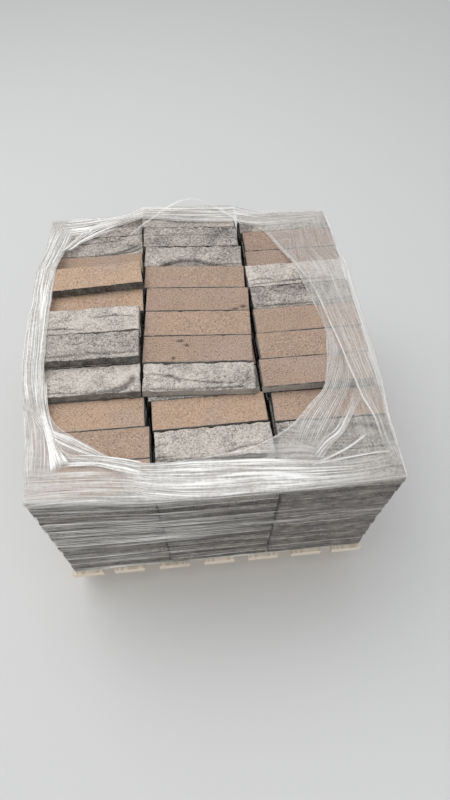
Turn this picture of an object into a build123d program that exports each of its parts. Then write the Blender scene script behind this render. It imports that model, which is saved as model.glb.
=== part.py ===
from build123d import *
from math import cos, sin
import os

os.makedirs("parts", exist_ok=True)

# A pallet of brick slips: thin facing bricks, laid flat in three columns of eleven rows, course on
# course, on a plain timber pallet, with stretch film wound round the four sides and folded over
# the top, where it leaves a large oval opening.
# X runs across the load, Y from its front to its back, Z up. The origin is on the floor, under
# the middle of the pallet. Lengths are in millimetres and angles in degrees.

# One slip, cut from the face of a hand-moulded brick
slip_length = 215.0
slip_height = 65.0
slip_thickness = 22.5
arris_break = 2.0

# The load
row_count = 11
full_course_count = 17
column_joint = 3.5
row_joint = 0.8
load_forward = 4.0

# How unevenly the slips are laid: play in a course, and the largest turn of a slip in one
play_x = 0.6
play_y = 0.5
course_turn = 0.25

# How far the stacks have wandered at the top of the load, row by row from the front.
# Sideways in each column, back for the whole column, and back for its front row on top of that.
left_drift = (-6, -6, -14, -18, -17, -15, -11, -10, -9, -8, -7)
middle_drift = (-3, -1, -4, -10, -10, -8, -5, -5, -5, -5, -4)
right_drift = (3, 3, 4, 0, 0, 0, 0, 0, 2, 4, 0)
column_back_drift = (3.5, -5.5, -10.0)
front_row_back_drift = (0.0, -6.0, 0.0)

# Turn of the slips that lie open on the last full course, row by row from the front
left_turns = (0.0, -0.2, -0.2, 0.0, 0.0, 0.0, 0.0, 0.2, 0.3, 0.2, 0.0)
middle_turns = (0.3, 0.6, 0.9, 0.7, 0.4, 0.2, 0.0, 0.0, 0.0, 0.0, 0.0)
right_turns = (-0.4, -0.6, -0.7, -0.5, -0.3, 0.0, 0.0, 0.0, 0.2, 0.3, 0.0)

# The unfinished course on it: the rows of each column that have a slip, their sideways shifts
# and their turns
left_raised_rows = (4, 5, 6, 7, 8)
left_raised_shifts = (-18.0, -17.0, -15.0, -8.0, -9.0)
left_raised_turns = (-0.4, -0.2, 0.0, 0.2, 0.4)
middle_raised_rows = (4, 5, 6, 7, 8, 9, 10, 11)
middle_raised_shifts = (-18.0, -15.5, -10.5, -6.0, -7.5, -5.5, -8.0, -8.5)
middle_raised_turns = (-3.6, -3.9, -4.2, -4.4, -4.4, -4.2, -4.1, -4.0)
right_raised_rows = (4, 5, 6, 7, 8)
right_raised_shifts = (-11.0, -7.0, -5.0, -3.5, -7.0)
right_raised_turns = (0.4, 0.6, 0.9, 1.1, 1.2)

# Loose slips on that course, all on the left column: row, sideways shift, shift back and turn
loose_rows = (5, 6, 8)
loose_shifts = (-17.0, -15.0, -8.0)
loose_back_shifts = (0.0, 0.0, -12.0)
loose_turns = (-0.3, -0.2, 3.8)

# Rows whose open slip shows its moulded face; the others show the sawn back
left_face_up = (4, 5, 6, 10, 11)
middle_face_up = (1, 2, 4, 9, 10, 11)
right_face_up = (1, 2, 7, 8, 11)

# Stretch film: several turns pressed to one skin, and the oval opening that it leaves
film_wall = 0.6
film_clearance = 1.2
film_flare = 1.25
hem_left = 16.0
hem_right = 88.0
hem_front = 72.0
hem_back = 43.0
hem_slant = 80.0
hem_radius = 105.0
film_ridge_lead = 5.0
film_ridge_slope = 30.0

# Pallet: deck boards front to back, nailed on runners that lie across
board_count = 7
board_width = 70.0
board_thickness = 20.0
board_nudges = (0.0, -6.0, -3.0, 0.0, 2.0, 4.0, 0.0)
deck_overhang_side = 6.0
deck_overhang_front = 8.5
deck_overhang_back = 21.5
runner_width = 70.0
runner_height = 78.0
runner_recess = 40.0

column_pitch = slip_length + column_joint
row_pitch = slip_height + row_joint
load_width = 2 * column_pitch + slip_length
load_depth = (row_count - 1) * row_pitch + slip_height
deck_width = load_width + 2 * deck_overhang_side
load_front = -load_depth / 2 - load_forward
load_back = load_depth / 2 - load_forward
deck_front = load_front - deck_overhang_front
deck_back = load_back + deck_overhang_back
deck_top = runner_height + board_thickness
full_top = deck_top + full_course_count * slip_thickness
loose_top = full_top + 2 * slip_thickness
column_drifts = (left_drift, middle_drift, right_drift)
column_turns = (left_turns, middle_turns, right_turns)
column_face_up = (left_face_up, middle_face_up, right_face_up)
raised_rows = (left_raised_rows, middle_raised_rows, right_raised_rows)
raised_shifts = (left_raised_shifts, middle_raised_shifts, right_raised_shifts)
raised_turns = (left_raised_turns, middle_raised_turns, right_raised_turns)


def row_y(row):
    """Middle of a row, counted from 1 at the front."""
    return (row - (row_count + 1) / 2) * row_pitch - load_forward


def full_course_places(course):
    """Place of each slip in a full course, and whether its moulded face is up.

    The stacks wander more the higher the course lies.
    """
    wander = (course / full_course_count) ** 2
    for column in range(3):
        beat = 2.4 * course + 1.9 * column
        lay_x = (column - 1) * column_pitch + play_x * sin(beat)
        lay_y = wander * column_back_drift[column] + play_y * cos(1.7 * beat)
        for row in range(1, row_count + 1):
            x = lay_x + wander * column_drifts[column][row - 1]
            y = lay_y + row_y(row)
            if row == 1:
                y += wander * front_row_back_drift[column]
            turn = course_turn * sin(3.1 * beat)
            face_up = (course + column) % 2 == 0
            if course == full_course_count:
                turn = column_turns[column][row - 1]
                face_up = row in column_face_up[column]
            yield Location((x, y), turn), face_up


def open_place(column, row, shift, back_shift, turn):
    """Place of a slip above the full courses, and whether its moulded face is up."""
    x = (column - 1) * column_pitch + shift
    y = row_y(row) + column_back_drift[column] + back_shift
    return Location((x, y), turn), row in column_face_up[column]


def raised_course_places():
    """The slips of the unfinished course."""
    for column in range(3):
        for row, shift, turn in zip(raised_rows[column], raised_shifts[column], raised_turns[column]):
            yield open_place(column, row, shift, 0, turn)


def loose_course_places():
    """The slips that lie loose on the unfinished course."""
    for row, shift, back_shift, turn in zip(loose_rows, loose_shifts, loose_back_shifts, loose_turns):
        yield open_place(0, row, shift, back_shift, turn)


def slip(face_up):
    """One slip on the ground, with the arrises of its moulded face broken and those of its back sharp."""
    with BuildPart() as piece:
        with BuildSketch():
            Rectangle(slip_length, slip_height)
        extrude(amount=slip_thickness)
        face = piece.faces().sort_by(Axis.Z)[-1 if face_up else 0]
        chamfer(face.edges(), length=arris_break)
    return piece.part


face_up_slip = slip(face_up=True)
back_up_slip = slip(face_up=False)


def slip_course(course, places):
    """One course of slips, each lying loose on the course below."""
    places = list(places)
    level = Location((0, 0, deck_top + (course - 1) * slip_thickness))
    with BuildPart() as slips:
        with Locations(*[level * place for place, face_up in places if face_up]):
            add(face_up_slip)
        with Locations(*[level * place for place, face_up in places if not face_up]):
            add(back_up_slip)
    slips.part.label = f"slip_course_{course:02d}"
    return slips.part


def deck_board(number):
    """A deck board, from the front of the pallet to its back."""
    pitch = (deck_width - board_width) / (board_count - 1)
    x = (number - (board_count + 1) / 2) * pitch + board_nudges[number - 1]
    with BuildPart() as board:
        with BuildSketch(Plane.XY.offset(runner_height)):
            with Locations((x, (deck_front + deck_back) / 2)):
                Rectangle(board_width, deck_back - deck_front)
        extrude(amount=board_thickness)
    board.part.label = f"deck_board_{number}"
    return board.part


def runner(name, y):
    """A runner on the floor, across the pallet, that carries all the deck boards."""
    with BuildPart() as bearer:
        with BuildSketch():
            with Locations((0, y)):
                Rectangle(deck_width, runner_width)
        extrude(amount=runner_height)
    bearer.part.label = name
    return bearer.part


runner_reach_front = deck_front + runner_recess + runner_width / 2
runner_reach_back = deck_back - runner_recess - runner_width / 2
runner_middle = (runner_reach_front + runner_reach_back) / 2
pieces = [
    runner("runner_front", runner_reach_front),
    runner("runner_middle", runner_middle),
    runner("runner_back", runner_reach_back),
]
for number in range(1, board_count + 1):
    pieces.append(deck_board(number))
for course in range(1, full_course_count + 1):
    pieces.append(slip_course(course, full_course_places(course)))
pieces.append(slip_course(full_course_count + 1, raised_course_places()))
pieces.append(slip_course(full_course_count + 2, loose_course_places()))


# Stretch film
def film_outline(spread, wander):
    """Plan of the film: a taut line round the slips, further out where the stacks have wandered."""
    left = -load_width / 2 - play_x - spread
    right = load_width / 2 + play_x + spread
    front = load_front - play_y - spread
    back = load_back + play_y + spread
    left_mid = left + wander * min(left_drift)
    right_mid = right + wander * max(right_drift)
    front_mid = front + wander * (column_back_drift[1] + front_row_back_drift[1])
    lap = slip_length / 2 + column_joint
    return (
        (left + wander * left_drift[0], front),
        (-lap, front_mid),
        (lap, front_mid),
        (right_mid, front + wander * column_back_drift[2]),
        (right_mid, back),
        (-lap, back + wander * column_back_drift[0]),
        (left + wander * left_drift[-1], back + wander * column_back_drift[0]),
        (left_mid, row_y(row_count - 3)),
        (left_mid, row_y(3)),
    )


def film_block(spread, top_inset):
    """The space inside a film skin: tapered walls, and a top that steps up over the open slips."""
    low = full_top + film_clearance + film_wall - top_inset
    high = low + slip_thickness
    ridge = high + slip_thickness
    ridge_front = row_y(loose_rows[0]) - slip_height / 2 - film_ridge_lead
    ridge_back = row_y(loose_rows[-1]) + slip_height / 2
    foot_front = ridge_front - film_ridge_slope
    foot_back = ridge_back + film_ridge_slope
    reach = load_depth
    with BuildPart() as block:
        with BuildSketch(Plane.YZ):
            with BuildLine():
                Polyline((-reach, deck_top), (reach, deck_top), (reach, high), (row_y(3), high),
                         (row_y(2), low), (-reach, low), close=True)
            make_face()
        extrude(amount=load_width, both=True)
        with BuildSketch(Plane.YZ.offset(-load_width / 2 + 2 * hem_left)):
            with BuildLine():
                Polyline((foot_front, deck_top), (foot_back, deck_top), (foot_back, high),
                         (ridge_back, ridge), (ridge_front, ridge), (foot_front, high), close=True)
            make_face()
        extrude(amount=-load_width / 2)
        with BuildSketch(Plane.XY.offset(deck_top)):
            with BuildLine():
                Polyline(*film_outline(spread, 0), close=True)
            make_face()
        with BuildSketch(Plane.XY.offset(loose_top + slip_thickness)):
            with BuildLine():
                Polyline(*film_outline(spread, film_flare), close=True)
            make_face()
        loft(ruled=True, mode=Mode.INTERSECT)
    return block.part


with BuildPart() as film:
    add(film_block(film_clearance + film_wall, 0))
    add(film_block(film_clearance, film_wall), mode=Mode.SUBTRACT)
    with BuildSketch(Plane.XY.offset(full_top)):
        with BuildLine():
            Polyline((-load_width / 2 + hem_left, load_front + hem_front),
                     (load_width / 2 - hem_right, load_front + hem_front),
                     (load_width / 2 - hem_right, 0),
                     (load_width / 2 - hem_right - hem_slant, load_back - hem_back),
                     (-load_width / 2 + hem_left, load_back - hem_back), close=True)
        opening = make_face()
        fillet(opening.vertices().group_by(Axis.Y)[0], radius=hem_radius)
    extrude(amount=3 * slip_thickness, mode=Mode.SUBTRACT)
film.part.label = "stretch_film"
pieces.append(film.part)

for piece in pieces:
    export_step(piece, f"parts/{piece.label}.step")
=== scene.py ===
from math import atan2, copysign, cos, exp, pi, sin, tau

import bmesh
import bpy
import numpy as np
from mathutils import Matrix, Vector, noise
from mathutils.geometry import convex_hull_2d


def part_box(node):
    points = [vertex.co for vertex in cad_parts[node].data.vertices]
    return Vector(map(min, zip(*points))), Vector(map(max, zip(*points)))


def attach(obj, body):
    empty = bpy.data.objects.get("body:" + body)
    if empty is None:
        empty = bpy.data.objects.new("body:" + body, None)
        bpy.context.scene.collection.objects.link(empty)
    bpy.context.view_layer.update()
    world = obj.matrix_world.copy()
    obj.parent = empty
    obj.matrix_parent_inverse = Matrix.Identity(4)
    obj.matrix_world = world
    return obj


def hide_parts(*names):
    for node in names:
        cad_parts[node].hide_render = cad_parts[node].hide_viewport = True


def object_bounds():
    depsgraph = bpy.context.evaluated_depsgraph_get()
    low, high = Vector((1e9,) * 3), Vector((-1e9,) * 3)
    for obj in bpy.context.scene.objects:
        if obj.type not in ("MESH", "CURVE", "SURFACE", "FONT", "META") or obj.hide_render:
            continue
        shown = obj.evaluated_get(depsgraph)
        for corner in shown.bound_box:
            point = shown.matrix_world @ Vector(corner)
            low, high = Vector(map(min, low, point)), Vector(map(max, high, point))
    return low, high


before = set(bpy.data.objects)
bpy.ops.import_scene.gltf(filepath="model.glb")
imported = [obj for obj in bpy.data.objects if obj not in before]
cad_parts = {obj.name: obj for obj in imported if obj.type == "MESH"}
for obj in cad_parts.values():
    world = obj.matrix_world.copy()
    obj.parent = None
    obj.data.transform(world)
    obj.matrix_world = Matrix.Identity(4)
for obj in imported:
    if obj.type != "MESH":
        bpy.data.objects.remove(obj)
cad_low, cad_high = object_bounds()


# Runners and deck boards
# The pallet is new sawn softwood: three runners lie across it, and seven boards are nailed on
# them from the front to the back. The saw leaves soft corners and slightly wavy faces.
timber_arris = 0.0012
timber_wave, timber_waves_per_metre = 0.0007, 35
timber_step = 0.04
ring_spacing, ring_wander = 0.0042, 5
pith_below, pith_aside, pith_chance, pith_waves_per_metre = 0.05, 0.03, 0.02, 40
runners = ("runner_front", "runner_middle", "runner_back")
deck_boards = [f"deck_board_{number}" for number in range(1, 8)]


class Wire:
    """One socket of a material, so that what a surface does reads as plain sums."""

    def __init__(self, socket):
        self.socket = socket
        self.tree = socket.id_data

    def node(self, kind, settings=(), inputs=(), output=0):
        """A node of any type: its settings first, then a value or a wire into each socket."""
        made = self.tree.nodes.new("ShaderNode" + kind)
        for name, value in dict(settings).items():
            setattr(made, name, value)
        for name, value in dict(inputs).items():
            socket = made.inputs[name]
            if isinstance(value, Wire):
                self.tree.links.new(value.socket, socket)
            elif socket.type == "RGBA":
                socket.default_value = (*value, 1)
            else:
                socket.default_value = value
        return Wire(made.outputs[output])

    def maths(self, operation, first, second=0.0):
        return self.node("Math", {"operation": operation}, {0: first, 1: second})

    def __add__(self, other):
        return self.maths("ADD", self, other)

    def __sub__(self, other):
        return self.maths("SUBTRACT", self, other)

    def __rsub__(self, other):
        return self.maths("SUBTRACT", other, self)

    def __mul__(self, other):
        return self.maths("MULTIPLY", self, other)

    def __truediv__(self, other):
        return self.maths("DIVIDE", self, other)

    __radd__ = __add__
    __rmul__ = __mul__

    def between(self, low, high):
        """0 below low, 1 above high, and an even slope from one to the other."""
        limits = {"Value": self, "From Min": low, "From Max": high}
        return self.node("MapRange", {"clamp": True}, limits)

    def mix(self, first, second):
        """From the first colour at 0 to the second at 1."""
        return self.node("Mix", {"data_type": "RGBA"}, {0: self, 6: first, 7: second}, 2)

    def vector(self, operation, other):
        return self.node("VectorMath", {"operation": operation}, {0: self, 1: other})

    def marked(self, name, output="Fac"):
        """What the mesh holds under a name."""
        return self.node("Attribute", {"attribute_name": name}, output=output)

    def grain(self, scale, detail=3.0, roughness=0.55):
        """Cloudy noise with so many waves to the metre."""
        settings = {"Vector": self, "Scale": scale, "Detail": detail, "Roughness": roughness}
        return self.node("TexNoise", {}, settings)

    def size_of(self):
        """The even size of a value, whichever its sign."""
        return self.maths("ABSOLUTE", self)

    def spots(self, scale):
        """Distance to the nearest of scattered points, in their own spacing."""
        return self.node("TexVoronoi", {}, {"Vector": self, "Scale": scale})

    def into(self, name):
        self.tree.links.new(self.socket, self.tree.nodes["Principled BSDF"].inputs[name])

    def bump(self, distance, strength=1.0):
        height = {"Height": self, "Distance": distance, "Strength": strength}
        self.node("Bump", {}, height).into("Normal")


def start_material(name, **even):
    """A material with the values that are the same all over it, and its Object coordinates."""
    material = bpy.data.materials.new(name)
    material.use_nodes = True
    shader = material.node_tree.nodes["Principled BSDF"]
    for socket, value in even.items():
        shader.inputs[socket.replace("_", " ")].default_value = value
    coordinates = material.node_tree.nodes.new("ShaderNodeTexCoord")
    return material, Wire(coordinates.outputs["Object"])


def softwood(name, grain_run, pale, dark):
    """Sawn softwood whose grain runs along X or Y: year rings round each stick's own pith."""
    material, place = start_material(name, Roughness=0.78)
    offset = place.vector("SUBTRACT", place.marked("pith", "Vector"))
    from_pith = offset.vector("MULTIPLY", grain_run)
    wander = place.vector("MULTIPLY", grain_run).grain(30, 2)
    radius = from_pith.node("VectorMath", {"operation": "LENGTH"}, {0: from_pith}, "Value")
    turns = radius * (tau / ring_spacing) + wander * ring_wander
    rings = place.maths("SINE", turns).between(-0.4, 1)
    streaks = from_pith.grain(420, 4, 0.7)
    soiled = place.grain(14, 3).between(0.5, 0.75) * 0.35
    wood = (rings * 0.55 + streaks * 0.5).between(0.2, 0.9).mix(pale, dark)
    soiled.mix(wood, (0.33, 0.28, 0.23)).into("Base Color")
    (rings * 0.4 + streaks + place.grain(900, 2) * 0.4).bump(0.0006, 0.6)
    return material


def place_piece(name, shape, materials, slot, *nodes):
    """Makes a finished shape one piece of the load, in the place of its nodes."""
    mesh = bpy.data.meshes.new(name)
    shape.to_mesh(mesh)
    shape.free()
    for material in materials:
        mesh.materials.append(material)
    piece = bpy.data.objects.new(name, mesh)
    bpy.context.scene.collection.objects.link(piece)
    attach(piece, "root")
    if nodes:
        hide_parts(*nodes)
    return piece


def sawn_stick(node, run, slot, material):
    """A sawn timber in the place of its node, with softened arrises and slightly wavy faces."""
    low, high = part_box(node)
    size = high - low
    middle = (low + high) / 2
    stick = bmesh.new()
    bmesh.ops.create_cube(stick, size=1.0)
    bmesh.ops.scale(stick, vec=size, verts=stick.verts)
    bmesh.ops.translate(stick, vec=middle, verts=stick.verts)
    lengthwise = [edge for edge in stick.edges
                  if abs((edge.verts[1].co - edge.verts[0].co)[run]) > timber_step]
    bmesh.ops.subdivide_edges(stick, edges=lengthwise, cuts=int(size[run] / timber_step))
    arrises = [edge for edge in stick.edges if edge.calc_face_angle(0) > 1]
    bmesh.ops.bevel(stick, geom=arrises, offset=timber_arris, segments=2, profile=0.5,
                    affect="EDGES", material=-1)
    stick.normal_update()
    pith = stick.verts.layers.float_vector.new("pith")
    side = noise.noise(middle * pith_waves_per_metre)
    aside = pith_aside * side
    for vert in stick.verts:
        vert[pith] = middle + Vector((aside, aside, -pith_below - pith_chance * side))
        wave = noise.noise(vert.co * timber_waves_per_metre)
        vert.co -= vert.normal * timber_wave * (0.5 + 0.5 * wave)
    place_piece(node + "_timber", stick, [material], slot, node)


runner_softwood = softwood("runner_softwood", (0.04, 1, 1), (0.66, 0.54, 0.40), (0.46, 0.34, 0.22))
deck_softwood = softwood("deck_softwood", (1, 0.04, 1), (0.90, 0.80, 0.67), (0.68, 0.57, 0.44))
for node in runners:
    sawn_stick(node, 0, "runner_timber", runner_softwood)
for node in deck_boards:
    sawn_stick(node, 1, "deck_timber", deck_softwood)


# Brick slips
# Each slip is the outer inch of a hand-moulded brick, sawn off it: a sanded grey face with folds
# of clay, dark burnt sides, and a flat tan back with pores. They are laid flat, course on course,
# in columns 0 to 2 from the left and rows 1 to 11 from the front.
slip_length, slip_height, slip_thickness = 0.215, 0.065, 0.0225
column_pitch, row_pitch = 0.2185, 0.0658
moulded_arris, sawn_arris = 0.0022, 0.0006
moulded_skin = 3 * moulded_arris
edge_band = 0.007
edge_wear, edge_waver = 0.0006, 0.0009
waves_per_metre, ripples_per_metre, sand_per_metre = 28, 130, 330
relief_depths = (0.0006, 0.0005, 0.0003)
bites_per_metre, bite_depth = 62, 0.0034
tears_per_metre, tear_start, tear_depth = 55, 0.05, 0.006
nicks_per_metre, nick_start, nick_depth = 75, 0.30, 0.006
sawn_waver, chip_depth = 0.00012, 0.0010
level_slack = 0.00035
full_courses, all_courses = 17, 19
deck_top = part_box("slip_course_01")[0].z

# Cells of a slip along, across and down: where it lies open, behind the film, and out of sight
open_cells, outer_cells, hidden_cells = (78, 24, 6), (9, 3, 2), (1, 1, 1)

# How light the open slips are, from dark 0 to light 1: column and row of those that stand out
common_shade = 0.45
shades = {
    # (0, 7) is light partly for its own pale patch and partly as painted light against the shade
    # that the raised slip behind it casts
    0.95: ((0, 4), (0, 6), (0, 7), (0, 8), (1, 2), (2, 8)),
    0.78: ((0, 3), (1, 3), (1, 4)),
    0.33: ((1, 9),),
    0.28: ((0, 5), (1, 5), (1, 7), (1, 8), (2, 4)),
    0.05: ((1, 10), (2, 1), (2, 2), (2, 7), (2, 9), (2, 10)),
}
darkest_sides = ((0, 5), (0, 8), (2, 7), (1, 10))


def moulded_face():
    """Sanded grey face: pale sand in patches and creases, darker where it is thin. Painted shade
    darkens its crease lines, fold grooves, hollows and chips.
    """
    material, place = start_material("slip_moulded_face", Roughness=0.96, Specular_IOR_Level=0.2)
    tone = place.marked("tone")
    own = place.vector("ADD", place.marked("seed", "Vector"))
    patches = own.grain(21, 3, 0.55)
    folds = own.vector("MULTIPLY", (0.7, 1.2, 1)).grain(80, 4, 0.65)
    sand = own.grain(300, 2, 0.7)
    dust = own.grain(800, 2, 0.7)
    lumps = own.grain(150, 3, 0.6)
    cloud = patches * 1.3 + folds * 0.7 + lumps * 0.8 + sand * 2.3 + dust * 1.5 - 3.3
    worn = (cloud * 0.72 + tone * 0.37 + 0.368).between(0.0, 1.0)
    grey = worn.mix((0.135, 0.122, 0.113), (0.80, 0.722, 0.648))
    bent = own.vector("MULTIPLY", (0.75, 1.35, 1)).grain(50, 3, 0.55) - 0.5
    crease = 1 - bent.size_of().between(0.002, 0.012)
    creased = crease * own.grain(19, 2).between(0.48, 0.58)
    specks = own.grain(700, 2, 0.6).between(0.60, 0.70) * 0.5
    groove = place.marked("groove")
    # Painted shade in the crease lines and in the grooves, hollows and chips of the groove mark,
    # mixed with the real dark specks of grit
    shade_and_specks = (groove * 0.75 + creased * 0.45 + specks * 0.30).between(0, 1)
    shade_and_specks.mix(grey, (0.070, 0.062, 0.056)).into("Base Color")
    (folds * 1.2 + lumps * 0.5 + sand * 0.7 - creased * 0.5).bump(0.0034, 0.9)
    return material


def sawn_back():
    """Flat sawn back: tan clay with fine dark pores, greyer where the burnt skin begins; its chips
    get painted shade.
    """
    material, place = start_material("slip_sawn_back", Roughness=0.95, Specular_IOR_Level=0.15)
    tone = place.marked("tone")
    own = place.vector("ADD", place.marked("seed", "Vector"))
    fired = tone + own.grain(14, 2) * 0.5 - 0.25
    warm = fired.mix((0.345, 0.246, 0.197), (0.567, 0.390, 0.271))
    blush = own.grain(9, 1).between(0.52, 0.66) * 0.6
    body = blush.mix(warm, (0.44, 0.325, 0.285))
    mottle = own.grain(350, 3, 0.8)
    pale = mottle.between(0.48, 0.70) * 0.75
    dull = (1 - mottle).between(0.48, 0.70) * 0.70
    clay = dull.mix(pale.mix(body, (0.69, 0.53, 0.40)), (0.235, 0.165, 0.130))
    pores = 1 - own.spots(150).between(0.10, 0.22)
    strewn = own.grain(45, 2).between(0.44, 0.60)
    pits = own.grain(380, 2, 0.6).between(0.60, 0.68)
    # The groove mark here is painted shade in the chips; the pores and pits are the clay's own dark
    # specks
    marks = (pores * strewn * 0.85 + pits * 0.85 + place.marked("groove") * 1.3).between(0, 1)
    pitted_and_shaded = marks.mix(clay, (0.105, 0.072, 0.056))
    skin = (place.marked("rim") * 1.1 + own.grain(120, 3) - 0.62).between(0.45, 0.95)
    (skin * 0.55).mix(pitted_and_shaded, (0.30, 0.265, 0.23)).into("Base Color")
    (mottle * 0.6 - pores * strewn - pits * 0.5).bump(0.0006, 0.6)
    return material


def burnt_side():
    """Dark burnt side of the brick, with thin sand, and painted shade in the joints between
    courses.
    """
    material, place = start_material("slip_burnt_side", Roughness=0.95, Specular_IOR_Level=0.2)
    burn = place.marked("burn")
    own = place.vector("ADD", place.marked("seed", "Vector"))
    patches = own.grain(45, 4, 0.65)
    grains = own.grain(300, 3, 0.7)
    pale = (patches + grains * 0.8 - burn * 0.45 - 0.20).between(0.10, 0.80)
    course = (place.node("SeparateXYZ", {}, {"Vector": place}, "Z") - deck_top) / slip_thickness
    from_middle = (course.maths("FRACT", course) - 0.5).size_of()
    # Painted shade along the joints between courses, where each slip's arris meets the next
    joint_shade = from_middle.between(0.33, 0.46) * own.grain(42, 2).between(0.34, 0.56)
    skin = pale.mix((0.062, 0.056, 0.052), (0.42, 0.385, 0.345))
    (joint_shade * 0.85).mix(skin, (0.030, 0.027, 0.025)).into("Base Color")
    (patches + grains * 0.7).bump(0.0016, 0.8)
    return material


def laid_slips(node):
    """A course's slips as the frame has them: place, and whether the moulded face is up."""
    course = bmesh.new()
    course.from_mesh(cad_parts[node].data)
    bmesh.ops.remove_doubles(course, verts=course.verts, dist=1e-5)
    slips, waiting = {}, set(course.verts)
    while waiting:
        found, searching = set(), {waiting.pop()}
        while searching:
            vert = searching.pop()
            found.add(vert)
            searching |= {edge.other_vert(vert) for edge in vert.link_edges} - found
        waiting -= found
        heights = [vert.co.z for vert in found]
        top = [vert.co for vert in found if vert.co.z > max(heights) - level_slack]
        bottom = [vert.co for vert in found if vert.co.z < min(heights) + level_slack]
        face_up = max(point.x for point in bottom) > max(point.x for point in top)
        corners = bottom if face_up else top
        middle = sum(corners, Vector()) / len(corners)
        sides = [(point - middle) * copysign(1, point.x - middle.x) for point in corners]
        lengthwise = sum(sides, Vector())
        middle.z = min(heights)
        turned = Matrix.Rotation(atan2(lengthwise.y, lengthwise.x), 4, "Z")
        column, row = round(middle.x / column_pitch) + 1, round(middle.y / row_pitch) + 6
        slips[column, row] = (Matrix.Translation(middle) @ turned, face_up)
    course.free()
    return slips


# Folds and broken edges of the open slips, in shares of the slip's length and height from its
# middle: column, row, both ends, how far the line bows, and how deep the clay drops in front.
folded_clay = (
    (0, 4, (0.00, -0.50), (0.43, 0.08), -0.09, 0.0010),
    (0, 4, (0.14, -0.54), (0.38, -0.24), -0.04, 0.0007),
    (0, 4, (-0.50, -0.38), (-0.02, -0.44), 0.04, 0.0009),
    (0, 5, (-0.50, -0.38), (0.50, -0.34), 0.05, 0.0006),
    (0, 5, (0.02, -0.20), (0.34, -0.36), -0.04, 0.0005),
    (0, 6, (0.05, 0.06), (0.46, 0.02), 0.08, 0.0006),
    (0, 6, (-0.50, -0.28), (0.00, -0.40), 0.05, 0.0008),
    (0, 10, (-0.45, -0.46), (0.48, 0.02), -0.20, 0.0016),
    (0, 10, (0.05, -0.42), (0.50, -0.12), -0.08, 0.0012),
    (0, 10, (-0.48, 0.20), (0.30, 0.30), -0.08, 0.0006),
    (0, 11, (-0.40, -0.20), (0.30, 0.10), -0.12, 0.0008),
    (1, 2, (-0.46, 0.30), (-0.30, -0.36), -0.12, 0.0007),
    (1, 2, (-0.42, 0.10), (-0.14, -0.46), -0.14, 0.0007),
    (1, 2, (0.10, -0.36), (0.46, -0.22), 0.06, 0.0006),
    (1, 4, (-0.48, 0.12), (-0.16, -0.20), 0.06, 0.0004),
    (1, 4, (-0.20, -0.06), (0.34, -0.26), -0.05, 0.0004),
    (1, 4, (-0.50, -0.40), (0.42, -0.38), -0.06, 0.0016),
    (1, 9, (-0.36, -0.52), (0.26, -0.50), 0.34, 0.0060),
    (1, 9, (0.20, -0.44), (0.50, -0.40), 0.03, 0.0010),
    (1, 10, (-0.45, 0.05), (0.40, 0.00), 0.08, 0.0005),
    (1, 11, (-0.50, -0.10), (0.46, -0.16), 0.10, 0.0014),
    (2, 7, (-0.50, -0.36), (0.50, -0.28), -0.06, 0.0010),
    (2, 8, (-0.48, -0.22), (-0.22, -0.26), 0.06, 0.0010),
    (2, 8, (-0.50, -0.40), (0.40, -0.36), 0.04, 0.0012),
    (2, 2, (-0.30, -0.10), (0.40, 0.20), 0.10, 0.0008),
    (2, 2, (0.10, 0.30), (0.44, -0.40), 0.08, 0.0010),
    (2, 1, (-0.10, -0.40), (0.45, 0.30), 0.16, 0.0008),
)
fold_width, widest_fold, fold_waver, fold_overrun = 0.0014, 0.0022, 0.0009, 0.04
groove_depth = 0.0011
hollow_depth, hollow_shade = 0.003, 0.42

# Chips in the open slips, shown as painted shade, on a sawn face over a shallow cut: column, row,
# place in shares of length and height, and both radii
chipped_clay = (
    (1, 4, (0.43, -0.12), (0.0060, 0.0042)),
    (1, 5, (-0.16, 0.30), (0.0070, 0.0024)),
    (1, 5, (-0.10, 0.12), (0.0048, 0.0026)),
    (1, 5, (-0.22, -0.36), (0.0040, 0.0024)),
    (1, 7, (0.44, -0.34), (0.0060, 0.0034)),
    (1, 7, (0.36, -0.44), (0.0070, 0.0022)),
)


def fold_at(x, y, folds):
    """How deep the folds drop the clay at a point of a face, and how strong a groove they leave,
    which the faces show as painted shade.
    """
    drop, groove = 0.0, 0.0
    for start, end, bow, depth in folds:
        chord = Vector((end[0] - start[0], end[1] - start[1]))
        share = ((x - start[0]) * chord.x + (y - start[1]) * chord.y) / chord.length_squared
        if -fold_overrun < share < 1 + fold_overrun:
            line = start[1] + share * chord.y + 4 * bow * share * (1 - share)
            off = (y - line) * slip_height + fold_waver * noise.noise(Vector((x * 40, bow * 9, 0)))
            fade = min(1, 8 * (share + fold_overrun), 8 * (1 + fold_overrun - share))
            width = fold_width * (0.7 + 500 * min(depth, widest_fold))
            groove = max(groove, fade * exp(-((off / width) ** 2)))
            # A deep hollow gets painted shade over all of it
            if off < 0 and depth > hollow_depth:
                groove = max(groove, hollow_shade * fade)
            drop += depth * fade * (1.0 if off < 0 else exp(-off / fold_width))
    return drop + groove_depth * groove, groove


def chip_at(x, y, chips):
    """How deep in a chip a point of a face lies, 0 outside it and 1 in its middle."""
    depths = []
    for spot, (wide, high) in chips:
        along, across = (x - spot[0]) * slip_length / wide, (y - spot[1]) * slip_height / high
        depths.append(exp(-(along**2) - across**2))
    return max(depths, default=0.0)


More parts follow.
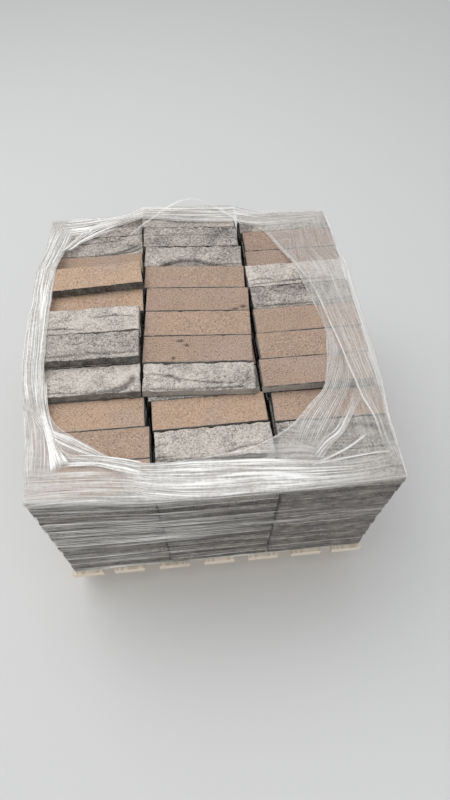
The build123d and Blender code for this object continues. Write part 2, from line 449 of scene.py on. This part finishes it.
def slip_shape(cells, face_up, seed, folds, chips):
    """One slip on the ground, in so many cells, its edges worn and its moulded face uneven."""
    across, deep, levels = cells
    shape = bmesh.new()
    bmesh.ops.create_grid(shape, x_segments=across, y_segments=deep, size=0.5)
    bmesh.ops.scale(shape, vec=(slip_length, slip_height, 1), verts=shape.verts)
    bmesh.ops.translate(shape, vec=(0, 0, slip_thickness), verts=shape.verts)
    open_edges = [edge for edge in shape.edges if edge.is_boundary]
    for _ in range(levels):
        grown = bmesh.ops.extrude_edge_only(shape, edges=open_edges)["geom"]
        lower = [item for item in grown if isinstance(item, bmesh.types.BMVert)]
        bmesh.ops.translate(shape, vec=(0, 0, -slip_thickness / levels), verts=lower)
        grown_edges = [item for item in grown if isinstance(item, bmesh.types.BMEdge)]
        open_edges = [edge for edge in grown_edges if edge.is_boundary]
    bmesh.ops.edgeloop_fill(shape, edges=open_edges)
    bmesh.ops.recalc_face_normals(shape, faces=shape.faces)
    for height in (0, slip_thickness):
        moulded = (height > 0) == face_up
        arrises = [edge for edge in shape.edges if edge.calc_face_angle(0) > 1 and all(
            abs(vert.co.z - height) < sawn_arris / 2 for vert in edge.verts)]
        bmesh.ops.bevel(shape, geom=arrises, offset=moulded_arris if moulded else sawn_arris,
                        segments=2 if moulded and across > 1 else 1, profile=0.5,
                        affect="EDGES", material=-1)
    shape.normal_update()
    for face in shape.faces:
        moulded_side = (face.normal.z > 0) == face_up
        limit = 0.35 if moulded_side else 0.9
        face.material_index = 2 if abs(face.normal.z) < limit else (0 if moulded_side else 1)
        face.smooth = across > 1
    if across == 1:
        return shape
    top_wear = 1.0 if face_up else 0.3
    rim = shape.verts.layers.float.new("rim")
    groove = shape.verts.layers.float.new("groove")
    own = Vector((seed * 0.731, seed * 0.417, 0))
    for vert in shape.verts:
        x, y, z = vert.co
        from_end, from_side = slip_length / 2 - abs(x), slip_height / 2 - abs(y)
        near_end, near_side = max(0, 1 - from_end / edge_band), max(0, 1 - from_side / edge_band)
        near_edge = max(near_end, near_side)
        vert[rim] = near_edge
        place = vert.co + own
        wave, ripple = noise.noise(place * waves_per_metre), noise.noise(place * ripples_per_metre)
        upper = min(1, max(0, 2 * z / slip_thickness - 0.6))
        worn = (edge_wear + edge_waver * (wave + ripple)) * (top_wear * upper + 1 - upper)
        bite = max(0, noise.noise(place * bites_per_metre)) * bite_depth * upper if face_up else 0
        vert.co.x -= copysign(near_end * max(0, worn + edge_wear * wave * top_wear + bite / 2), x)
        vert.co.y -= copysign(near_side * max(0, worn + bite), y)
        spot = x / slip_length, y / slip_height
        chip = chip_at(*spot, chips) if z > slip_thickness - sawn_arris else 0.0
        share = (z - slip_thickness + moulded_skin) / moulded_skin
        if share > 0 and face_up:
            drop, groove_here = fold_at(*spot, folds)
            heights = wave, ripple, noise.noise(place * sand_per_metre)
            relief = sum(depth * (1 + height) for depth, height in zip(relief_depths, heights))
            tear = max(0, noise.noise(place * tears_per_metre) - tear_start) * tear_depth
            vert.co.z -= share * (drop + relief + tear * near_edge)
            # The groove mark carries painted shade: the folds' grooves, deep hollows and chips
            vert[groove] = max(groove_here, chip)
        elif share > 0:
            nick = max(0, noise.noise(place * nicks_per_metre) - nick_start) * nick_depth
            vert.co.z -= nick * near_edge + sawn_waver * (1 + ripple) + chip_depth * chip
            # Painted shade in the chip
            vert[groove] = chip
    return shape


def lay_course(number, slips, covered):
    """The slips of one course as one piece: fine where they lie open, plain where nothing shows."""
    course = bmesh.new()
    layers = course.verts.layers
    tones, burns, _, _ = [layers.float.new(mark) for mark in ("tone", "burn", "rim", "groove")]
    seeds = layers.float_vector.new("seed")
    shared = bpy.data.meshes.new("slip")
    for (column, row), (place, face_up) in sorted(slips.items()):
        seed = number * 37 + column * 11 + row
        outside = column in (0, 2) or row in (1, 11)
        lies_open = number > full_courses or (column, row) not in covered
        cells = open_cells if lies_open else outer_cells if outside else hidden_cells
        folds = [fold[2:] for fold in folded_clay if fold[:2] == (column, row) and lies_open]
        chips = [chip[2:] for chip in chipped_clay if chip[:2] == (column, row) and lies_open]
        slip = slip_shape(cells, face_up, seed, folds, chips)
        slip.transform(place)
        slip.to_mesh(shared)
        slip.free()
        count = len(course.verts)
        course.from_mesh(shared)
        course.verts.ensure_lookup_table()
        chance = 0.5 + 0.5 * sin(seed * 12.9898)
        marked = [shade for shade, slips_of in shades.items() if (column, row) in slips_of]
        tone = marked[0] if marked and lies_open else common_shade + 0.2 * (chance - 0.5)
        burn = 1.0 if (column, row) in darkest_sides else 0.8 * chance
        burn = burn if lies_open else 0.6 + 0.6 * chance
        for vert in course.verts[count:]:
            vert[tones], vert[burns] = tone, burn
            vert[seeds] = (seed * 0.37, seed * 0.23, seed * 0.11)
    bpy.data.meshes.remove(shared)
    place_piece(f"slips_{number:02d}", course, brick_finishes, "brick", f"slip_course_{number:02d}")


brick_finishes = (moulded_face(), sawn_back(), burnt_side())
courses = {number: laid_slips(f"slip_course_{number:02d}") for number in range(1, all_courses + 1)}
for number in courses:
    lay_course(number, courses[number], courses.get(number + 1, {}))


# Stretch film
# Thin clear film is wound round the load in many turns, from the deck up, and pulled so tight that
# it runs in level ropes. Its last turns fold in over the top, where they gather round an opening.
film_gap = 0.0008
film_bend = 0.004
side_rows, bend_rows, hem_rows = 124, 4, 26
load_half_width, load_half_depth = 0.328, 0.366
corner_signs = ((-1, -1), (1, -1), (1, 1), (-1, 1))
wrap_height = 0.46

# How dense the film is: where turns overlap up the side, then by place on top, with how strong its
# streaks are and how much of it shows where nothing gathers
overlap_heights = (0, 0.012, 0.022, 0.04, 0.10, 0.14, 0.17, 0.24, 0.28, 0.33, 0.355, 0.385)
overlap_gather = (0.42, 0.36, 0.08, 0.05, 0.04, 0.16, 0.30, 0.30, 0.12, 0.05, 0.15, 0.24)
band_share, line_share, line_start, right_thinning, thinnest = 0.14, 0.80, 0.08, 0.29, 0.03
wall_relief, wall_slant = 0.0011, 0.006
wall_finish, bend_finish, hem_finish = (1.3, 0.05), (0.6, 0.10), (0.2, 0.04)
bend_gather = 0.45
open_hem, front_hem, back_hem, left_hem, rim_hem = 0.21, 0.42, 0.34, 0.36, 0.55
hem_fold = 0.0007
station_spacing = 0.0076
corner_crowding = 0.75
film_middle = Vector((-0.03, 0.0))
opening_steps = 240
opening_points = (
    (0.156, 0.287), (0.187, 0.232), (0.211, 0.144), (0.230, 0.044), (0.244, -0.048),
    (0.238, -0.091), (0.230, -0.136), (0.215, -0.186), (0.185, -0.215), (0.134, -0.260),
    (0.061, -0.293), (-0.030, -0.305), (-0.118, -0.308), (-0.188, -0.288), (-0.256, -0.240),
    (-0.292, -0.205), (-0.303, -0.150), (-0.305, -0.050), (-0.302, 0.060), (-0.292, 0.230),
    (-0.268, 0.302), (-0.205, 0.322), (-0.112, 0.322), (-0.006, 0.302), (0.090, 0.292),
)
height_step, height_margin, slip_margin = 0.004, 0.02, 0.003
taut_slope = 0.35
stretch_rounds, settling_rounds = 60, 50


def taut_outline(number):
    """Outline of a tight turn round a course of slips."""
    corners = [Vector((slip_length / 2 * a, slip_height / 2 * b, 0)) for a, b in corner_signs]
    places = [place for place, _ in courses[number].values()]
    points = [(place @ corner).to_2d() for place in places for corner in corners]
    return [points[index] for index in convex_hull_2d(points)]


def smooth_line(points, share, closed=False):
    """The point at a share of the way along a smooth line through chosen points."""
    count = len(points)
    spans = count if closed else count - 1
    first = min(int(share * spans), spans - 1)
    step = share * spans - first
    picks = [first - 1, first, first + 1, first + 2]
    picks = [pick % count if closed else min(max(pick, 0), count - 1) for pick in picks]
    before, start, end, after = (Vector(points[pick]) for pick in picks)
    bend = 2 * before - 5 * start + 4 * end - after
    turn = 3 * start - before - 3 * end + after
    return (2 * start + (end - before) * step + bend * step**2 + turn * step**3) / 2


def reach(outline, heading):
    """How far a closed outline lies from the middle of the film in a direction."""
    furthest = 0.0
    for start, end in zip(outline, outline[1:] + outline[:1]):
        side = end - start
        crossing = heading.cross(side)
        if abs(crossing) > 1e-9:
            share = (start - film_middle).cross(heading) / crossing
            if -1e-6 <= share <= 1 + 1e-6:
                furthest = max(furthest, (start - film_middle).cross(side) / crossing)
    return furthest


full_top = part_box("slip_course_17")[1].z
grid_low = Vector((cad_low.x - height_margin, cad_low.y - height_margin))
grid_size = cad_high - cad_low + Vector((2 * height_margin, 2 * height_margin, 0))
grid_counts = [int(grid_size[axis] / height_step) for axis in (0, 1)]
grid_lines = [grid_low[axis] + height_step * np.arange(grid_counts[axis]) for axis in (0, 1)]
grid_x, grid_y = np.meshgrid(*grid_lines, indexing="ij")
held_up = np.full(grid_x.shape, full_top - slip_thickness)
for number in range(full_courses, all_courses + 1):
    for place, _ in courses[number].values():
        middle, lengthwise = place.to_translation(), place.col[0]
        along = (grid_x - middle.x) * lengthwise.x + (grid_y - middle.y) * lengthwise.y
        across = (grid_y - middle.y) * lengthwise.x - (grid_x - middle.x) * lengthwise.y
        under = abs(along) < slip_length / 2 + slip_margin
        under &= abs(across) < slip_height / 2 + slip_margin
        held_up[under] = np.maximum(held_up[under], middle.z + slip_thickness)
film_top = held_up.copy()
for round_number in range(stretch_rounds + settling_rounds):
    padded = np.pad(film_top, 1, mode="edge")
    neighbours = (padded[:-2, 1:-1], padded[2:, 1:-1], padded[1:-1, :-2], padded[1:-1, 2:])
    if round_number < stretch_rounds:
        film_top = np.maximum(film_top, np.maximum.reduce(neighbours) - taut_slope * height_step)
    else:
        film_top = np.maximum(held_up, sum(neighbours) / 4)


def height_at(point):
    """Height of the film where it lies over the slips, at a point in plan."""
    place = [(point[axis] - grid_low[axis]) / height_step for axis in (0, 1)]
    cell = [min(max(int(place[axis]), 0), grid_counts[axis] - 2) for axis in (0, 1)]
    part = [place[axis] - cell[axis] for axis in (0, 1)]
    i, j = cell
    near = film_top[i, j] * (1 - part[0]) + film_top[i + 1, j] * part[0]
    far = film_top[i, j + 1] * (1 - part[0]) + film_top[i + 1, j + 1] * part[0]
    return near * (1 - part[1]) + far * part[1]


def stretch_film():
    """Clear film: nearly unseen where it lies single and flat, milky where it gathers, with painted
    highlights on its ropes and painted shade between them.
    """
    material, place = start_material("stretch_film", Roughness=0.30, IOR=1.49)
    across, gather, strands = (place.marked(mark) for mark in ("across", "gather", "strands"))

    def streaks(per_metre, wander, detail):
        """Streaks along the pull, so many to the metre across it."""
        crosswise = place.node("CombineXYZ", {}, {"Z": across * per_metre})
        drawn_out = place.vector("MULTIPLY", (wander, wander, 0)).vector("ADD", crosswise)
        return drawn_out.grain(1, detail, 0.6) - 0.5

    ropes, cords, threads = streaks(105, 3, 3), streaks(235, 6, 3), streaks(480, 10, 2)
    lines = cords.between(0.03, 0.12) + threads.between(0.05, 0.15) * 0.8
    crumple = place.grain(150, 4, 0.65) - 0.5
    pull = ropes * 1.1 + cords * 2.6 + threads * 2.8 + lines * 0.6 - 0.2
    density = gather * (1 + strands * pull + crumple * 0.8)
    (density + place.marked("sheer")).into("Alpha")
    # Painted highlights on the ropes and threads and painted shade between them, in the film's
    # colour
    painted_sheen_and_shade = ropes * 0.5 + cords * 1.7 + threads * 2.0 + lines * 0.25 + crumple * 0.8 + 0.64
    painted_sheen_and_shade.between(0, 1).mix((0.58, 0.525, 0.48), (1.0, 0.985, 0.955)).into("Base Color")
    (ropes * 0.7 + cords * 0.8 + threads * 0.3 + crumple * 0.3).bump(0.002, 0.7)
    return material


def film_sheet(name, columns, rows, locate, flat, *nodes):
    """A sheet of film in a grid: locate gives each point's place and what is marked on it."""
    sheet = bmesh.new()
    bmesh.ops.create_grid(sheet, x_segments=columns, y_segments=rows, size=1.0)
    layers = sheet.verts.layers.float
    marks = [layers.new(mark) for mark in ("across", "gather", "strands", "sheer")]
    for vert in sheet.verts:
        column, row = round((vert.co.x + 1) / 2 * columns), round((vert.co.y + 1) / 2 * rows)
        vert.co, *values = locate(column, row)
        for mark, value in zip(marks, values):
            vert[mark] = value
    bmesh.ops.remove_doubles(sheet, verts=sheet.verts, dist=1e-5)
    bmesh.ops.recalc_face_normals(sheet, faces=sheet.faces)
    for face in sheet.faces:
        face.smooth = True
    piece = place_piece(name, sheet, [film_finish], "film", *nodes)


film_finish = stretch_film()
outlines = [taut_outline(number) for number in range(1, full_courses + 1)]
opening = [smooth_line(opening_points, step / opening_steps, closed=True)
           for step in range(opening_steps)]
load_corners = [Vector((load_half_width * a, load_half_depth * b)) for a, b in corner_signs]
stations = []
for start, end in zip(load_corners, load_corners[1:] + load_corners[:1]):
    count = round((end - start).length / station_spacing)
    for step in range(count):
        share = step / count - corner_crowding * sin(tau * step / count) / tau
        heading = (start.lerp(end, share) - film_middle).normalized()
        turns = [reach(outline, heading) for outline in outlines]
        stations.append((heading, turns, reach(opening, heading)))
edge_angles = [atan2(heading.y, heading.x) for heading, _, _ in stations]
edge_reaches = [turns[-1] + film_gap for _, turns, _ in stations]


def ease(value, low, high):
    """0 below low, 1 above high, and a smooth rise between."""
    share = min(max((value - low) / (high - low), 0), 1)
    return share * share * (3 - 2 * share)


def drawn_noise(spot, height, along, across, shift=0.0):
    """Noise drawn out along the pull: so many waves to the metre along it and across it."""
    return noise.noise(Vector((spot.x * along + shift, spot.y * along, height * across)))


def wrap_at(column, row):
    """A point of the wrap: up the side, round the top edge, then in to the opening."""
    heading, turns, rim = stations[column % len(stations)]
    outermost = turns[-1] + film_gap
    edge = film_middle + heading * (outermost - film_bend)
    edge_height = height_at(edge) + film_gap
    if row <= side_rows:
        rise = row / side_rows * (edge_height - film_bend - deck_top)
        course = min(rise / slip_thickness, full_courses - 1.001)
        below, share = int(course), course - int(course)
        out = turns[below] * (1 - share) + turns[below + 1] * share + film_gap
        spot = film_middle + heading * out
        slant = rise + wall_slant * drawn_noise(spot, rise, 3, 5)
        pull = drawn_noise(spot, slant, 2.5, 70) + 0.5 * drawn_noise(spot, slant, 4, 190)
        spot += heading * max(-film_gap / 2, wall_relief * pull)
        bands, lines = drawn_noise(spot, slant, 1.2, 22), drawn_noise(spot, slant, 2.4, 95, 5)
        gather = float(np.interp(rise, overlap_heights, overlap_gather))
        gather += band_share * bands + line_share * max(0, lines - line_start)
        gather -= right_thinning * ease(spot.x, -0.16, 0.22)
        return (*spot, deck_top + rise), slant, max(thinnest, gather), *wall_finish
    if row <= side_rows + bend_rows:
        angle = (row - side_rows) / bend_rows * pi / 2
        spot = edge + heading * film_bend * cos(angle)
        height = edge_height - film_bend * (1 - sin(angle))
        return (*spot, height), height - deck_top, bend_gather, *bend_finish
    share = (row - side_rows - bend_rows) / hem_rows
    inward = share * (outermost - film_bend - rim)
    spot = edge - heading * inward
    front, back = front_hem * ease(-spot.y, 0.316, 0.336), back_hem * ease(spot.y, 0.27, 0.31)
    front *= 1 - 0.5 * ease(-spot.x, 0.08, 0.16) - 0.6 * ease(spot.x, 0.08, 0.20)
    left, end = left_hem * ease(-spot.x, 0.29, 0.32), rim_hem * ease(share, 0.94, 1.0)
    gather = max(open_hem, front, back, left, end)
    folds = hem_fold * drawn_noise(spot, inward, 6, 160) * (0.3 + gather)
    height = height_at(spot) + film_gap + max(0, folds)
    return (*spot, height), edge_height - deck_top + inward, gather, *hem_finish


wrap_rows = side_rows + bend_rows + hem_rows
perimeter = 4 * (load_half_width + load_half_depth)
film_sheet("film_wrap", len(stations), wrap_rows, wrap_at, (perimeter, wrap_height), "stretch_film")


# Gathered film on top
# Where the last turns fold in they bunch: a thick white rope down the left side that splays out at
# the front corner, a streaky band down the right side, and a fan of fine pleats beside it.
# Each band lies between two lines in plan, with its density from end to end.
fade = 0.12
crumple_height, crumples_per_metre = 0.0008, 60
stray_width, strays_per_metre = 0.0025, 9
measuring_steps = 60
fullness = {"film_pleats": 1.4}
gathered = {
    "film_rope_left": dict(
        inner=((-0.270, 0.352), (-0.287, 0.262), (-0.294, 0.187), (-0.301, 0.099),
               (-0.304, 0.034), (-0.305, -0.023), (-0.303, -0.073), (-0.305, -0.129),
               (-0.300, -0.185)),
        outer=((-0.335, 0.362), (-0.352, 0.276), (-0.356, 0.180), (-0.360, 0.087),
               (-0.362, -0.040), (-0.362, -0.090), (-0.362, -0.140), (-0.350, -0.205)),
        density=(0.85, 0.9, 0.9), strands=0.65, folds=9, fold_height=0.0020,
        lift=0.0016, cells=(120, 80), seed=3),
    "film_corner_left": dict(
        inner=((-0.326, -0.120), (-0.316, -0.170), (-0.306, -0.215), (-0.300, -0.260),
               (-0.298, -0.320)),
        outer=((-0.362, -0.110), (-0.362, -0.170), (-0.360, -0.220), (-0.358, -0.275),
               (-0.354, -0.325)),
        density=(0.42, 0.46, 0.42), strands=0.8, folds=8, fold_height=0.0010,
        lift=0.0012, cells=(80, 50), seed=6),
    "film_corner_front": dict(
        inner=((-0.352, -0.255), (-0.316, -0.262), (-0.276, -0.280)),
        outer=((-0.352, -0.384), (-0.310, -0.382), (-0.262, -0.382)),
        density=(0.22, 0.28, 0.25), strands=0.12, folds=3, fold_height=0.0008,
        lift=0.0010, cells=(50, 60), seed=44),
    "film_splay_rim": dict(
        inner=((-0.340, -0.172), (-0.310, -0.201), (-0.289, -0.224), (-0.256, -0.240),
               (-0.214, -0.269), (-0.179, -0.294), (-0.135, -0.306)),
        outer=((-0.343, -0.181), (-0.318, -0.217), (-0.294, -0.259), (-0.264, -0.288),
               (-0.213, -0.305), (-0.170, -0.316), (-0.118, -0.341)),
        density=(1.0, 0.52, 0.7), strands=0.9, folds=7, fold_height=0.0014,
        lift=0.0022, cells=(100, 60), seed=8),
    "film_splay_corner": dict(
        inner=((-0.299, -0.130), (-0.298, -0.180), (-0.290, -0.222), (-0.274, -0.262),
               (-0.248, -0.292)),
        outer=((-0.325, -0.130), (-0.322, -0.180), (-0.312, -0.220), (-0.303, -0.262),
               (-0.297, -0.322)),
        density=(0.7, 1.0, 0.7), strands=1.0, folds=7, fold_height=0.0014,
        lift=0.0027, cells=(90, 54), seed=12),
    "film_knot": dict(
        inner=((-0.262, -0.278), (-0.214, -0.284), (-0.179, -0.291), (-0.130, -0.304)),
        outer=((-0.268, -0.304), (-0.213, -0.308), (-0.173, -0.322), (-0.122, -0.344)),
        density=(0.7, 1.1, 0.8), strands=0.9, folds=4, fold_height=0.0022,
        lift=0.0032, cells=(90, 30), seed=51),
    "film_front_left": dict(
        inner=((-0.338, -0.306), (-0.293, -0.310), (-0.213, -0.314), (-0.140, -0.324),
               (-0.060, -0.330)),
        outer=((-0.345, -0.382), (-0.290, -0.380), (-0.220, -0.380), (-0.150, -0.384),
               (-0.080, -0.392)),
        density=(0.3, 0.5, 0.5), strands=0.55, folds=10, fold_height=0.0010,
        lift=0.0019, cells=(110, 70), seed=27),
    "film_front_white": dict(
        inner=((-0.175, -0.300), (-0.114, -0.308), (-0.030, -0.310), (0.076, -0.317),
               (0.180, -0.330), (0.260, -0.331), (0.342, -0.320)),
        outer=((-0.165, -0.356), (-0.119, -0.376), (-0.030, -0.392), (0.076, -0.394),
               (0.181, -0.392), (0.260, -0.388), (0.345, -0.384)),
        density=(0.62, 0.98, 0.03), strands=0.6, folds=10, fold_height=0.0014,
        lift=0.0024, cells=(130, 84), seed=30),
    "film_band_right": dict(
        inner=((0.172, 0.277), (0.215, 0.138), (0.244, 0.056), (0.258, -0.048), (0.270, -0.148),
               (0.281, -0.207), (0.298, -0.253), (0.301, -0.310), (0.311, -0.357)),
        outer=((0.335, 0.345), (0.338, 0.200), (0.338, 0.030), (0.340, -0.100), (0.342, -0.205),
               (0.344, -0.295), (0.346, -0.372)),
        density=(0.12, 0.36, 0.43), strands=0.5, folds=13, fold_height=0.0011,
        lift=0.0016, cells=(120, 104), seed=17),
    "film_pleats": dict(
        inner=((0.258, -0.095), (0.257, -0.117), (0.239, -0.145), (0.219, -0.179),
               (0.208, -0.196), (0.184, -0.221), (0.162, -0.246), (0.136, -0.300)),
        outer=((0.264, -0.095), (0.268, -0.120), (0.272, -0.158), (0.265, -0.190),
               (0.247, -0.221), (0.222, -0.262), (0.180, -0.322)),
        density=(0.75, 0.72, 0.70), strands=0.15, folds=14, fold_height=0.0022,
        lift=0.0024, cells=(96, 140), seed=21, contrast=0.85),
    "film_smooth_strip": dict(
        inner=((0.250, -0.040), (0.240, -0.080), (0.236, -0.105), (0.231, -0.132),
               (0.216, -0.182)),
        outer=((0.256, -0.046), (0.259, -0.085), (0.262, -0.108), (0.246, -0.136),
               (0.221, -0.184)),
        density=(0.5, 0.55, 0.4), strands=0.1, folds=2, fold_height=0.0008,
        lift=0.0020, cells=(50, 16), seed=57),
    "film_crumple_right": dict(
        inner=((0.272, -0.190), (0.256, -0.222), (0.239, -0.247), (0.221, -0.271),
               (0.192, -0.291), (0.165, -0.322)),
        outer=((0.294, -0.196), (0.271, -0.230), (0.252, -0.257), (0.233, -0.283),
               (0.204, -0.307), (0.178, -0.340)),
        density=(0.4, 0.7, 0.55), strands=0.7, folds=3, fold_height=0.0022,
        lift=0.0030, cells=(80, 24), seed=61),
    "film_milky": dict(
        inner=((0.085, -0.290), (0.147, -0.294), (0.195, -0.310)),
        outer=((0.085, -0.346), (0.140, -0.348), (0.195, -0.348)),
        density=(0.35, 0.48, 0.35), strands=0.2, folds=3, fold_height=0.0010,
        lift=0.0022, cells=(60, 36), seed=66),
    "film_band_back": dict(
        inner=((-0.300, 0.300), (-0.250, 0.306), (-0.170, 0.326), (-0.080, 0.318), (0.010, 0.300),
               (0.100, 0.292), (0.180, 0.298), (0.300, 0.312)),
        outer=((-0.335, 0.372), (-0.250, 0.378), (-0.170, 0.376), (-0.080, 0.372), (0.010, 0.368),
               (0.100, 0.366), (0.180, 0.366), (0.320, 0.366)),
        density=(1.0, 0.6, 0.35), strands=0.9, folds=8, fold_height=0.0012,
        lift=0.0020, cells=(130, 60), seed=40),
    "film_fan_back": dict(
        inner=((-0.300, 0.225), (-0.278, 0.281), (-0.255, 0.315), (-0.223, 0.337),
               (-0.180, 0.347)),
        outer=((-0.276, 0.232), (-0.254, 0.270), (-0.230, 0.285), (-0.208, 0.297),
               (-0.168, 0.312)),
        density=(0.8, 0.85, 0.5), strands=1.0, folds=5, fold_height=0.0016,
        lift=0.0028, cells=(70, 40), seed=78),
}

# Single strands: the line that each follows in plan; it shows in the core of a wider sheet
strand_breadth, strand_core, loop_arch = 0.011, 0.19, 0.024
strand_lines = {
    "film_rim_right": (
        (0.163, 0.301), (0.195, 0.223), (0.216, 0.139), (0.233, 0.097), (0.245, 0.056),
        (0.259, -0.048), (0.266, -0.101), (0.272, -0.160), (0.282, -0.207), (0.299, -0.253),
        (0.303, -0.315)),
    "film_strand_low": ((0.310, -0.327), (0.292, -0.325), (0.235, -0.330), (0.160, -0.339)),
    "film_strand_high": ((0.160, -0.340), (0.201, -0.326), (0.241, -0.309), (0.278, -0.286)),
    "film_loop_back": (
        (-0.160, 0.259), (-0.098, 0.297), (-0.057, 0.326), (-0.021, 0.346), (0.013, 0.352),
        (0.057, 0.332), (0.128, 0.265)),
}


def beside(line, distance):
    """The points of a line, each moved sideways by a distance."""
    points = [Vector(point) for point in line]
    ways = [after - before for before, after in zip(points[:1] + points, points[1:] + points[-1:])]
    return [point + way.orthogonal().normalized() * distance for point, way in zip(points, ways)]


for number, (name, line) in enumerate(strand_lines.items()):
    gathered[name] = dict(
        inner=beside(line, strand_breadth / 2), outer=beside(line, -strand_breadth / 2),
        density=(0.6, 0.9, 0.7), strands=0.4, folds=1, fold_height=0.0010,
        lift=0.0030, cells=(130, 12), seed=34 + 7 * number, core=strand_core,
        arch=loop_arch if name == "film_loop_back" else 0.0)


def lie(spot, lift):
    """Lays a point over the wrap: on top, or bent down over the edge that it reaches past."""
    out = spot - film_middle
    edge = float(np.interp(atan2(out.y, out.x), edge_angles, edge_reaches, period=tau))
    heading, bend = out.normalized(), film_bend + lift
    past = out.length - (edge - film_bend)
    if past <= 0:
        return Vector((*spot, height_at(spot) + lift))
    inside = film_middle + heading * (edge - film_bend)
    turned = min(past / bend, pi / 2)
    down = past - bend * turned + bend * (1 - cos(turned))
    return Vector((*(inside + heading * bend * sin(turned)), height_at(inside) + lift - down))


def band_locator(inner, outer, density, strands, folds, fold_height, lift, cells, seed,
                 contrast=0.4, arch=0.0, core=9.0):
    """How a gathered band lies: lines between its two edges, with folds along them."""
    columns, rows = cells
    breadth = (Vector(inner[len(inner) // 2]) - Vector(outer[len(outer) // 2])).length

    def locate(column, row):
        along, share = column / columns, row / rows
        start, end = smooth_line(inner, along), smooth_line(outer, along)
        spot = start.lerp(end, share)
        wander = 0.25 * noise.noise(Vector((along * 4, share * 4, seed)))
        fold = 0.5 + 0.5 * sin(tau * (folds * share + wander))
        fold *= 0.65 + 0.7 * noise.noise(Vector((along * 3, share * folds, seed + 5)))
        ends = ease(along, 0, fade) * ease(1 - along, 0, fade)
        sides = ease(share, 0, fade / 2) * ease(1 - share, 0, fade)
        gather = float(np.interp(along, (0, 0.5, 1), density)) * ends * (0.35 + 0.65 * sides)
        gather *= 1.1 - contrast + contrast * fold
        gather *= exp(-(((share - 0.5) / core) ** 2))
        crumple = crumple_height * noise.noise(Vector((*(spot * crumples_per_metre), seed)))
        rise = fold_height * fold * (0.2 + 0.8 * ends) + max(0, crumple) + arch * sin(pi * along)
        stray = stray_width * noise.noise(Vector((*(spot * strays_per_metre), seed + 9)))
        return lie(spot, lift + rise), seed + share * breadth + stray, gather, strands, 0.0
    return locate


for name, band in gathered.items():
    steps = [step / measuring_steps for step in range(measuring_steps + 1)]
    lines = [[smooth_line(band[side], step) for step in steps] for side in ("inner", "outer")]
    lengths = [sum((b - a).length for a, b in zip(line, line[1:])) for line in lines]
    width = sum((b - a).length for a, b in zip(*lines)) / len(lines[0])
    flat = (width * fullness.get(name, 1), sum(lengths) / 2)
    film_sheet(name, *band["cells"], band_locator(**band), flat)


# Floor, light and camera
# A plain pale floor, one broad soft lamp overhead as under a bright cloudy sky, and the camera
# where the photograph was taken from: above the front edge, looking steeply down.
floor_size = 40.0
floor = bmesh.new()
bmesh.ops.create_grid(floor, x_segments=1, y_segments=1, size=floor_size / 2)
floor_mesh = bpy.data.meshes.new("floor")
floor.to_mesh(floor_mesh)
floor.free()
floor_paint, _ = start_material("floor_paint", Base_Color=(0.74, 0.735, 0.72, 1), Roughness=0.9)
floor_mesh.materials.append(floor_paint)
floor_object = bpy.data.objects.new("floor", floor_mesh)
bpy.context.scene.collection.objects.link(floor_object)

world = bpy.data.worlds.new("soft_sky")
bpy.context.scene.world = world
world.use_nodes = True
world.node_tree.nodes["Background"].inputs["Color"].default_value = (0.94, 0.97, 1.0, 1)
world.node_tree.nodes["Background"].inputs["Strength"].default_value = 0.55


def soft_lamp(name, place, aim, width, power, colour=(1, 1, 1)):
    """A square soft lamp that looks from its place at a point."""
    lamp = bpy.data.lights.new(name, "AREA")
    lamp.size, lamp.energy, lamp.color = width, power, colour
    holder = bpy.data.objects.new(name, lamp)
    bpy.context.scene.collection.objects.link(holder)
    holder.location = place
    holder.rotation_euler = (Vector(aim) - Vector(place)).to_track_quat("-Z", "Y").to_euler()


soft_lamp("sky_lamp", (-0.9, 0.6, 3.2), (0, 0, 0.4), 2.6, 54)
soft_lamp("front_lamp", (0.8, -3.0, 1.6), (0, 0, 0.3), 2.0, 14)

camera = bpy.data.cameras.new("camera")
camera.lens, camera.sensor_width, camera.sensor_fit = 24.88, 36.0, "AUTO"
camera_object = bpy.data.objects.new("camera", camera)
bpy.context.scene.collection.objects.link(camera_object)
camera_object.location = (-0.0418, -0.7577, 1.3558)
camera_object.rotation_euler = (0.581, -0.012, -0.102)
bpy.context.scene.camera = camera_object
bpy.context.scene.view_settings.view_transform = "Standard"
